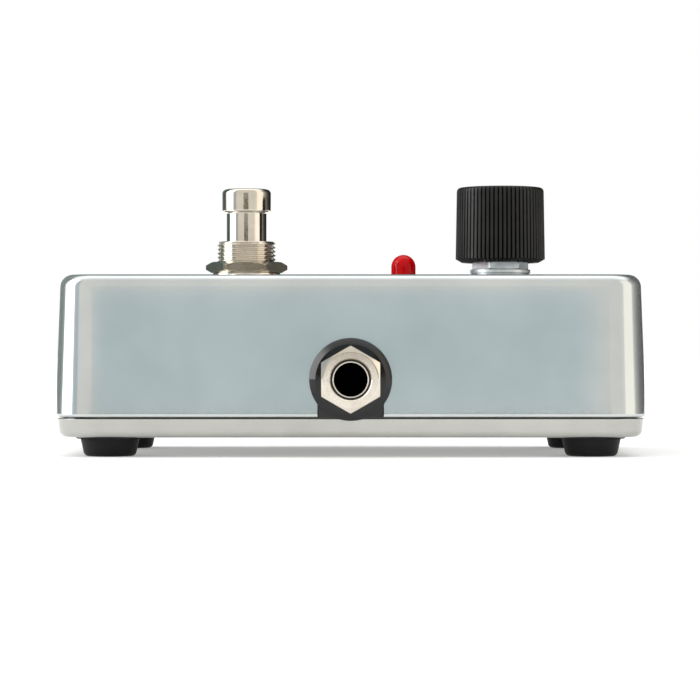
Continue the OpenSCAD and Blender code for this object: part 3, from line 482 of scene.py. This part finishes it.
# Signal jacks: one set of sizes for both sides
jackSet = {"chamber": 4.2, "chamberEnd": 4.6, "chamberFlat": 0.02, "chamberCone": 5.0, "seat": 3.475,
           "sleeve": 12.0, "sleeveBack": 0.2, "nose": 3.85, "noseBack": 0.4,
           "collar": 7.9, "collarThick": 1.3, "collarRim": 0.2, "bevel": 1.2,
           "bore": 3.2, "slot": 6.15, "blockHalf": 8.0, "blockLow": 8.6, "blockBack": 3.2, "blockFront": 28.0}
jackAngle = turnAngles(192)
sinA, cosA = np.sin(jackAngle), np.cos(jackAngle)


# Radius by angle of a slot filler that is round above and square below, down to depth
def fillerRadius(half, depth):
    aside = half / np.maximum(np.abs(cosA), 1e-6)
    below = depth / np.maximum(-sinA, 1e-6)
    return np.where(sinA >= 0, half, np.minimum(aside, below))


# Radius by angle of a rectangle about the axis
def blockRadius(half, up, down):
    aside = half / np.maximum(np.abs(cosA), 1e-6)
    tall = np.where(sinA >= 0, up, down) / np.maximum(np.abs(sinA), 1e-6)
    return np.minimum(aside, tall)


for side, name in ((-1, "input"), (1, "output")):
    nutLow, nutHigh = boxOf(name + "_jack_nut")
    face = max(abs(nutLow[1]), abs(nutHigh[1]))
    collarFace = min(abs(nutLow[1]), abs(nutHigh[1]))
    wallFace = collarFace - jackSet["collarThick"]
    noseFace = face - jackSet["noseBack"]
    boardUnder = boxOf("circuit_board")[0][2]
    seatEnd = face - jackSet["sleeveBack"] - jackSet["sleeve"]
    flat = np.ones_like(jackAngle)
    roundPart = rounded([
        (0, jackSet["chamberEnd"], 0), (jackSet["chamberFlat"], jackSet["chamberEnd"], 0),
        (jackSet["chamber"], jackSet["chamberEnd"] + jackSet["chamberCone"], 0),
        (jackSet["chamber"], seatEnd, 0),
        (jackSet["seat"], seatEnd, 0), (jackSet["seat"], noseFace, 0.12), (jackSet["nose"], noseFace, 0.12),
        (jackSet["nose"], collarFace, 0.05),
        (jackSet["collar"] - jackSet["bevel"], collarFace, 0.18),
        (jackSet["collar"], wallFace + jackSet["collarRim"], 0.12),
        (jackSet["collar"], wallFace, 0)], steps=5)
    filler = fillerRadius(jackSet["slot"], jackZ - shellLow[2])
    block = blockRadius(jackSet["blockHalf"], boardUnder - jackZ, jackZ - jackSet["blockLow"])
    rows = [(r * flat, h) for r, h in roundPart] + [
        (filler, wallFace), (filler, jackSet["blockFront"]), (block, jackSet["blockFront"]),
        (block, jackSet["blockBack"])]
    place = sideways(side, jackZ)
    grid = np.stack([place(r, h, jackAngle) for r, h in rows])
    finishPiece(surface(name + "_housing", grid), name + "_jack_housing", angle=26)

    sleeveEnd = seatEnd + jackSet["sleeve"]
    mouth = rounded([(jackSet["bore"], seatEnd, 0.05), (jackSet["seat"], seatEnd, 0.05),
                     (jackSet["seat"], sleeveEnd, 0.06), (jackSet["bore"], sleeveEnd, 0.12)],
                    steps=5, ring=True)
    finishPiece(turned(name + "_sleeve", mouth, place, 128, ring=True), name + "_jack_sleeve")
    jackNut = hexNut(name + "_nut", {
        "low": collarFace, "high": face, "acrossFlats": 11.2, "turn": 30, "rim": 5.35,
        "cornerRadius": 0.3, "hole": jackSet["nose"] + 0.01, "lead": 0.2, "soft": 0.07}, place)
    finishPiece(jackNut, name + "_jack_nut", angle=18)
print("jacks made")


# Hex colour, as seen on a screen, made linear
def linear(text, alpha=True):
    parts = [int(text[i:i + 2], 16) / 255 for i in (0, 2, 4)]
    parts = [c / 12.92 if c <= 0.04045 else ((c + 0.055) / 1.055) ** 2.4 for c in parts]
    return (*parts, 1.0) if alpha else tuple(parts)


# Adds a node: settings go to its sockets or its own fields, and links join other nodes' outputs
def addNode(tree, kind, settings=None, links=None):
    new = tree.nodes.new(kind)
    for key, value in (settings or {}).items():
        if isinstance(key, int) or key in new.inputs:
            new.inputs[key].default_value = value
        else:
            setattr(new, key, value)
    for key, source in (links or {}).items():
        tree.links.new(source, new.inputs[key])
    return new


# Sets the stops of a colour ramp from (place, colour) pairs
def setStops(ramp, stops):
    elements = ramp.color_ramp.elements
    while len(elements) > 1:
        elements.remove(elements[-1])
    for i, (place, colour) in enumerate(stops):
        stop = elements[0] if i == 0 else elements.new(place)
        stop.position = place
        stop.color = colour
    return ramp


# Dark tone painted as shade into the seam band, where the gap between box and cover lies in shadow
seamShadeTone = "14130f"


# Finish shared by all but the lens. A slow noise mixes two near tones, and a fine noise moves
# the roughness and raises the grain. Both are sized in millimetres. seam paints shade into a band
# of heights: a dark tone with no metal stands in for the shadow inside the gap
def makeFinish(name, look):
    material = bpy.data.materials.new(name)
    material.use_nodes = True
    tree = material.node_tree
    tree.nodes.clear()
    spot = addNode(tree, "ShaderNodeTexCoord").outputs["Object"]
    slow = addNode(tree, "ShaderNodeTexNoise", {
        "Scale": toMm / look["patch"], "Detail": 3.0, "Roughness": 0.55}, {"Vector": spot})
    fine = addNode(tree, "ShaderNodeTexNoise", {
        "Scale": toMm / look["grain"], "Detail": 2.0, "Roughness": 0.5}, {"Vector": spot})
    spread = addNode(tree, "ShaderNodeMapRange", {"From Min": 0.35, "From Max": 0.65},
                     {"Value": slow.outputs["Fac"]})
    tone = addNode(tree, "ShaderNodeMix", {"data_type": "RGBA"}, {0: spread.outputs["Result"]})
    tone.inputs[6].default_value = linear(look["dark"])
    tone.inputs[7].default_value = linear(look["light"])
    rough = addNode(tree, "ShaderNodeMapRange", {
        "From Min": 0.3, "From Max": 0.7, "To Min": look["rough"][0], "To Max": look["rough"][1]},
        {"Value": fine.outputs["Fac"]})
    bump = addNode(tree, "ShaderNodeBump", {"Strength": look["bump"], "Distance": look["relief"] / toMm},
                   {"Height": fine.outputs["Fac"]})
    shader = addNode(tree, "ShaderNodeBsdfPrincipled", {"Metallic": look.get("metal", 0.0)},
                     {"Base Color": tone.outputs[2], "Roughness": rough.outputs["Result"],
                      "Normal": bump.outputs["Normal"]})
    if "seam" in look:
        height = addNode(tree, "ShaderNodeSeparateXYZ", None, {"Vector": spot}).outputs["Z"]
        inside = [addNode(tree, "ShaderNodeMapRange", {"From Min": a / toMm, "From Max": b / toMm},
                          {"Value": height}).outputs["Result"] for a, b in look["seam"]]
        share = addNode(tree, "ShaderNodeMath", {"operation": "MULTIPLY"},
                        {0: inside[0], 1: inside[1]}).outputs[0]
        # Painted shade: inside the seam band the colour is swapped for the dark tone and the metal is turned
        # off
        seamShade = addNode(tree, "ShaderNodeMix", {"data_type": "RGBA"}, {0: share, 6: tone.outputs[2]})
        seamShade.inputs[7].default_value = linear(seamShadeTone)
        seamShadeMetal = addNode(tree, "ShaderNodeMapRange", {"To Min": look["metal"], "To Max": 0.0},
                        {"Value": share})
        tree.links.new(seamShade.outputs[2], shader.inputs["Base Color"])
        tree.links.new(seamShadeMetal.outputs["Result"], shader.inputs["Metallic"])
    for socket, value in look.get("shader", {}).items():
        shader.inputs[socket].default_value = value
    addNode(tree, "ShaderNodeOutputMaterial", None, {"Surface": shader.outputs["BSDF"]})
    return material


# Finishes by slot. Colours are as seen on a screen, sizes in millimetres
looks = {
    # polished grey casting under clear lacquer, faintly cloudy, with painted shade in a thin band at its lower
    # edge by the seam
    "cast_aluminium": {"name": "polishedCasting", "dark": "c6cbcb", "light": "cfd3d3", "metal": 0.8,
                       "patch": 16, "grain": 0.7, "rough": (0.025, 0.045), "bump": 0.2, "relief": 0.0004,
                       "seam": ((shellLow[2] - 0.05, shellLow[2] - 0.01),
                                (shellLow[2] + 0.05, shellLow[2] + 0.01)),
                       "shader": {"Coat Weight": 0.15, "Coat Roughness": 0.04}},
    # the same casting, a little warmer, with painted shade on the shoulder inside the seam
    "cover_aluminium": {"name": "polishedCover", "dark": "b0b0ab", "light": "b9b9b4", "metal": 0.85,
                        "patch": 14, "grain": 0.7, "rough": (0.06, 0.1), "bump": 0.3, "relief": 0.003,
                        "seam": ((rim - 0.04, rim), (9.7, 9.6)),
                        "shader": {"Coat Weight": 0.2, "Coat Roughness": 0.08}},
    # bluish zinc, slightly uneven
    "zinc_steel": {"name": "brightZinc", "dark": "bfc7cc", "light": "dde2e5", "metal": 1.0, "patch": 2,
                   "grain": 0.4, "rough": (0.36, 0.48), "bump": 0.3, "relief": 0.004},
    # dull plated screw steel
    "screw_steel": {"name": "platedScrew", "dark": "8b8d8c", "light": "a9aaa8", "metal": 1.0, "patch": 2,
                    "grain": 0.3, "rough": (0.25, 0.4), "bump": 0.3, "relief": 0.006},
    # warm mirror nickel
    "nickel_brass": {"name": "warmNickel", "dark": "cfc7ba", "light": "ddd6ca", "metal": 1.0, "patch": 5,
                     "grain": 0.5, "rough": (0.05, 0.10), "bump": 0.2, "relief": 0.002},
    # drawn spring wire
    "spring_steel": {"name": "springWire", "dark": "8a8a88", "light": "a8a8a5", "metal": 1.0, "patch": 2,
                     "grain": 0.2, "rough": (0.25, 0.4), "bump": 0.3, "relief": 0.004},
    # matt moulded rubber
    "black_rubber": {"name": "mouldedRubber", "dark": "0a0a0b", "light": "111112", "patch": 4, "grain": 0.25,
                     "rough": (0.4, 0.6), "bump": 0.5, "relief": 0.02, "shader": {"Specular IOR Level": 0.2}},
    # tape edge, greyer than the feet
    "black_adhesive": {"name": "foamTape", "dark": "222325", "light": "303133", "patch": 3, "grain": 0.2,
                       "rough": (0.7, 0.9), "bump": 0.6, "relief": 0.03,
                       "shader": {"Specular IOR Level": 0.2}},
    # glossy moulding with a soft flow pattern
    "black_nylon": {"name": "glossyNylon", "dark": "0a0a0b", "light": "111113", "patch": 6, "grain": 0.5,
                    "rough": (0.05, 0.1), "bump": 0.2, "relief": 0.002,
                    "shader": {"Specular IOR Level": 0.42}},
    # satin knob moulding
    "knob_plastic": {"name": "satinKnob", "dark": "141413", "light": "1e1e1c", "patch": 5, "grain": 0.18,
                     "rough": (0.3, 0.45), "bump": 0.4, "relief": 0.01,
                     "shader": {"Specular IOR Level": 0.3}},
    # white paint laid in the line
    "pointer_paint": {"name": "linePaint", "dark": "dedbd2", "light": "efede6", "patch": 1.5, "grain": 0.2,
                      "rough": (0.4, 0.55), "bump": 0.3, "relief": 0.006},
    # dull blue thermoset
    "blue_moulding": {"name": "blueThermoset", "dark": "1f3c58", "light": "2d4f70", "patch": 4, "grain": 0.3,
                      "rough": (0.4, 0.6), "bump": 0.4, "relief": 0.01},
    # paper laminate with a fibrous tone
    "brown_laminate": {"name": "paperLaminate", "dark": "4c2f1b", "light": "6a4529", "patch": 1.2,
                       "grain": 0.3, "rough": (0.35, 0.55), "bump": 0.4, "relief": 0.01},
    # soft white silver plate
    "contact_silver": {"name": "silverPlate", "dark": "cfccc2", "light": "e2e0d8", "metal": 1.0, "patch": 2,
                       "grain": 0.3, "rough": (0.15, 0.3), "bump": 0.2, "relief": 0.003},
    # sprung yellow strip
    "contact_brass": {"name": "sprungBrass", "dark": "b6954f", "light": "d0b36c", "metal": 1.0, "patch": 2,
                      "grain": 0.3, "rough": (0.18, 0.3), "bump": 0.2, "relief": 0.003},
    # flat grey cable
    "grey_ribbon": {"name": "greyRibbon", "dark": "84888c", "light": "979b9f", "patch": 1.27, "grain": 0.4,
                    "rough": (0.4, 0.55), "bump": 0.4, "relief": 0.02},
    # solder mask over glass epoxy
    "green_board": {"name": "solderMask", "dark": "164a2c", "light": "236539", "patch": 3, "grain": 0.5,
                    "rough": (0.25, 0.4), "bump": 0.3, "relief": 0.01},
    # matt chip package
    "black_epoxy": {"name": "chipEpoxy", "dark": "1d1d1f", "light": "2a2a2c", "patch": 2, "grain": 0.15,
                    "rough": (0.5, 0.7), "bump": 0.5, "relief": 0.01},
    # shrink sleeve on the cans
    "can_film": {"name": "canSleeve", "dark": "1c2b48", "light": "2c3f62", "patch": 3, "grain": 0.4,
                 "rough": (0.25, 0.4), "bump": 0.2, "relief": 0.008},
    # lacquered tan body
    "tan_resistor": {"name": "tanLacquer", "dark": "a98c62", "light": "c2a67a", "patch": 1, "grain": 0.3,
                     "rough": (0.3, 0.5), "bump": 0.4, "relief": 0.02},
    # plain dark printed can
    "battery_can": {"name": "batteryCan", "dark": "303134", "light": "424347", "metal": 0.6, "patch": 8,
                    "grain": 0.5, "rough": (0.25, 0.4), "bump": 0.2, "relief": 0.006},
    # coloured wire insulation
    "lead_insulation": {"name": "wireInsulation", "dark": "7c1010", "light": "a01a1a", "patch": 3,
                        "grain": 0.4, "rough": (0.35, 0.5), "bump": 0.2, "relief": 0.008},
    # open grey foam
    "grey_foam": {"name": "greyFoam", "dark": "3a3b3d", "light": "595a5c", "patch": 1.0, "grain": 0.35,
                  "rough": (0.8, 0.95), "bump": 0.9, "relief": 0.15},
}
finishes = {slot: makeFinish(look["name"], look) for slot, look in looks.items()}

# Tinted lens, only slightly clear: a slow noise mixes two reds and moves the gloss
lensLook = {"tint": "e2000c", "deep": "b4000a", "rough": (0.04, 0.09), "index": 1.5, "patch": 2.0,
            "clear": 0.15, "specular": 0.1}
lensFinish = bpy.data.materials.new("tintedLens")
lensFinish.use_nodes = True
tree = lensFinish.node_tree
tree.nodes.clear()
spot = addNode(tree, "ShaderNodeTexCoord").outputs["Object"]
slow = addNode(tree, "ShaderNodeTexNoise", {"Scale": toMm / lensLook["patch"], "Detail": 2.0},
               {"Vector": spot})
tone = addNode(tree, "ShaderNodeMix", {"data_type": "RGBA"}, {0: slow.outputs["Fac"]})
tone.inputs[6].default_value = linear(lensLook["deep"])
tone.inputs[7].default_value = linear(lensLook["tint"])
rough = addNode(tree, "ShaderNodeMapRange", {"To Min": lensLook["rough"][0], "To Max": lensLook["rough"][1]},
                {"Value": slow.outputs["Fac"]})
lensShader = addNode(tree, "ShaderNodeBsdfPrincipled", {
    "IOR": lensLook["index"], "Transmission Weight": lensLook["clear"],
    "Specular IOR Level": lensLook["specular"]},
    {"Base Color": tone.outputs[2], "Roughness": rough.outputs["Result"]})
addNode(tree, "ShaderNodeOutputMaterial", None, {"Surface": lensShader.outputs["BSDF"]})
finishes["red_epoxy"] = lensFinish

for node, body in bodyOf.items():
    target = made.get(node) or frame["nodes"][node]
    target.data.materials.clear()
    target.data.materials.append(finishes[slotOf[node]])
print("materials made")

# Floor: a flat grid just under the feet
floorSet = {"half": 6.0, "cells": 12, "dark": "e6e6e5", "light": "ebebea", "glow": 0.26}
line = np.linspace(-floorSet["half"], floorSet["half"], floorSet["cells"] + 1)
floorPoints = np.stack([*np.meshgrid(line, line), np.full((floorSet["cells"] + 1,) * 2, -0.00002)], -1)
index = np.arange(len(line) ** 2).reshape(len(line), -1)
floorQuads = np.stack([index[:-1, :-1], index[:-1, 1:], index[1:, 1:], index[1:, :-1]], -1).reshape(-1, 4)
floorMesh = bpy.data.meshes.new("studio_floor")
floorMesh.from_pydata(floorPoints.reshape(-1, 3).tolist(), [], floorQuads.tolist())
floor = bpy.data.objects.new("studio_floor", floorMesh)
bpy.context.scene.collection.objects.link(floor)
# Pale sheet that is lit a little from below, so that it stays light under the box
floorMesh.materials.append(makeFinish("paleFloor", {
    "dark": floorSet["dark"], "light": floorSet["light"], "patch": 60, "grain": 2.0, "rough": (0.6, 0.8),
    "bump": 0.1, "relief": 0.01, "shader": {
        "Specular IOR Level": 0.0, "Emission Color": (1.0, 1.0, 1.0, 1.0),
        "Emission Strength": floorSet["glow"]}}))

# The studio is drawn in the world: the walls by their bearing, the ceiling by the angle over
# the top, and a grey panel with a dark bar in front. Matt surfaces are lit by an even dome that
# is brighter overhead. Bearings are degrees from the front, negative to the left
studioSet = {
    "walls": [(-180, "64726e", 1.0), (-150, "6a7a76", 1.0), (-124, "54605c", 1.0), (-112, "9aa6a6", 1.0),
              (-107, "ffffff", 1.6), (-103, "ffffff", 5.0), (-70, "ffffff", 5.0), (-65, "d5dde3", 1.2),
              (-58, "c4ced6", 0.85), (-51, "c9d3d8", 0.9), (-46, "f5f2ec", 0.97), (40, "f5f2ec", 0.97),
              (50, "f8f4ec", 1.05), (56, "fff8ec", 1.5), (84, "fff8ec", 1.5), (92, "d8d8d0", 0.9),
              (108, "9a9a94", 0.7), (122, "5c5c58", 0.7), (150, "2c2a27", 0.4), (180, "64726e", 1.0)],
    "ceiling": [(0, "f5f2ec", 0.95), (45, "f5f2ec", 0.95), (65, "f4f3ef", 0.97), (80, "f8f8f7", 1.2),
                (92, "ffffff", 1.8), (112, "ffffff", 1.8), (126, "e4e7e7", 1.0), (145, "c4c8c6", 0.7),
                (180, "a0a4a2", 0.5)],
    "blendFrom": 0.6, "blendTo": 0.88, "dome": (0.4, 1.45),
    "bar": {"left": (-13.5, -12), "right": (10, 11.5), "down": (-3, -2), "up": (2.85, 2.98),
            "stops": [(0, "aaa396", 0.8), (1.9, "a09888", 0.75), (2.2, "8a7860", 0.4), (4, "8a7860", 0.4)]},
    "panel": {"left": (-5.62, -5.42), "right": (4.9, 5.7), "down": (2.9, 3.0), "up": (5.65, 5.9),
              "stops": [(2.9, "d6e2e4", 1.0), (3.3, "cedde0", 1.0), (3.9, "c6d7da", 1.0), (4.8, "c2d3d7", 1.0),
                        (5.5, "c8d8db", 1.0), (6.5, "cedcde", 1.0), (8.2, "f0f0ec", 0.95)]}}
world = bpy.data.worlds.new("studio")
bpy.context.scene.world = world
world.use_nodes = True
tree = world.node_tree
tree.nodes.clear()
direction = addNode(tree, "ShaderNodeTexCoord").outputs["Generated"]
axes = addNode(tree, "ShaderNodeSeparateXYZ", None, {"Vector": direction}).outputs
ahead = addNode(tree, "ShaderNodeMath", {"operation": "MULTIPLY", 1: -1.0}, {0: axes["Y"]}).outputs[0]


# Ramp over an angle in degrees, with colour times brightness at each stop
def angleRamp(stops, source, low, high):
    share = addNode(tree, "ShaderNodeMapRange", {
        "From Min": math.radians(low), "From Max": math.radians(high)}, {"Value": source})
    ramp = addNode(tree, "ShaderNodeValToRGB", None, {"Fac": share.outputs["Result"]})
    return setStops(ramp, [((a - low) / (high - low), tuple(
        c * level for c in linear(colour, False)) + (1.0,)) for a, colour, level in stops]).outputs["Color"]


bearing = addNode(tree, "ShaderNodeMath", {"operation": "ARCTAN2"}, {0: axes["X"], 1: ahead}).outputs[0]
walls = angleRamp(studioSet["walls"], bearing, -180, 180)
rise = addNode(tree, "ShaderNodeMath", {"operation": "ARCTAN2"}, {0: axes["Z"], 1: ahead}).outputs[0]
ceiling = angleRamp(studioSet["ceiling"], rise, 0, 180)
up = addNode(tree, "ShaderNodeMapRange", {
    "interpolation_type": "SMOOTHSTEP", "From Min": studioSet["blendFrom"],
    "From Max": studioSet["blendTo"]}, {"Value": axes["Z"]})
room = addNode(tree, "ShaderNodeMix", {"data_type": "RGBA"}, {0: up.outputs["Result"], 6: walls, 7: ceiling})
for part in ("bar", "panel"):
    look = studioSet[part]
    inside = None
    for key, source in (("left", bearing), ("right", bearing), ("down", rise), ("up", rise)):
        rising = key in ("left", "down")
        mask = addNode(tree, "ShaderNodeMapRange", {
            "From Min": math.radians(look[key][0]), "From Max": math.radians(look[key][1]),
            "To Min": 0.0 if rising else 1.0, "To Max": 1.0 if rising else 0.0},
            {"Value": source}).outputs["Result"]
        inside = mask if inside is None else addNode(
            tree, "ShaderNodeMath", {"operation": "MULTIPLY"}, {0: inside, 1: mask}).outputs[0]
    colour = angleRamp(look["stops"], rise, look["stops"][0][0], look["stops"][-1][0])
    room = addNode(tree, "ShaderNodeMix", {"data_type": "RGBA"}, {0: inside, 6: room.outputs[2], 7: colour})
rays = addNode(tree, "ShaderNodeLightPath").outputs
dome = addNode(tree, "ShaderNodeMapRange", {"To Min": studioSet["dome"][0], "To Max": studioSet["dome"][1]},
               {"Value": axes["Z"]})
glow = addNode(tree, "ShaderNodeMix", {"data_type": "RGBA"}, {
    0: rays["Is Diffuse Ray"], 6: room.outputs[2], 7: dome.outputs["Result"]})
paper = addNode(tree, "ShaderNodeMix", {"data_type": "RGBA"}, {0: rays["Is Camera Ray"], 6: glow.outputs[2]})
paper.inputs[7].default_value = (1.0, 1.0, 1.0, 1.0)
sky = addNode(tree, "ShaderNodeBackground", {"Strength": 1.0}, {"Color": paper.outputs[2]})
addNode(tree, "ShaderNodeOutputWorld", None, {"Surface": sky.outputs["Background"]})

cameraSet = {"lens": 137.8, "away": 510.0, "height": 20.5, "across": -0.13}
camera = bpy.data.objects.new("camera", bpy.data.cameras.new("camera"))
camera.data.lens = cameraSet["lens"]
camera.data.clip_end = 50
camera.location = (cameraSet["across"] / toMm, (shellLow[1] - cameraSet["away"]) / toMm,
                   cameraSet["height"] / toMm)
camera.rotation_euler = (math.pi / 2, 0, 0)
bpy.context.scene.collection.objects.link(camera)
bpy.context.scene.camera = camera
bpy.context.scene.view_settings.view_transform = "Standard"
print("studio made")

print("pieces", len(made))
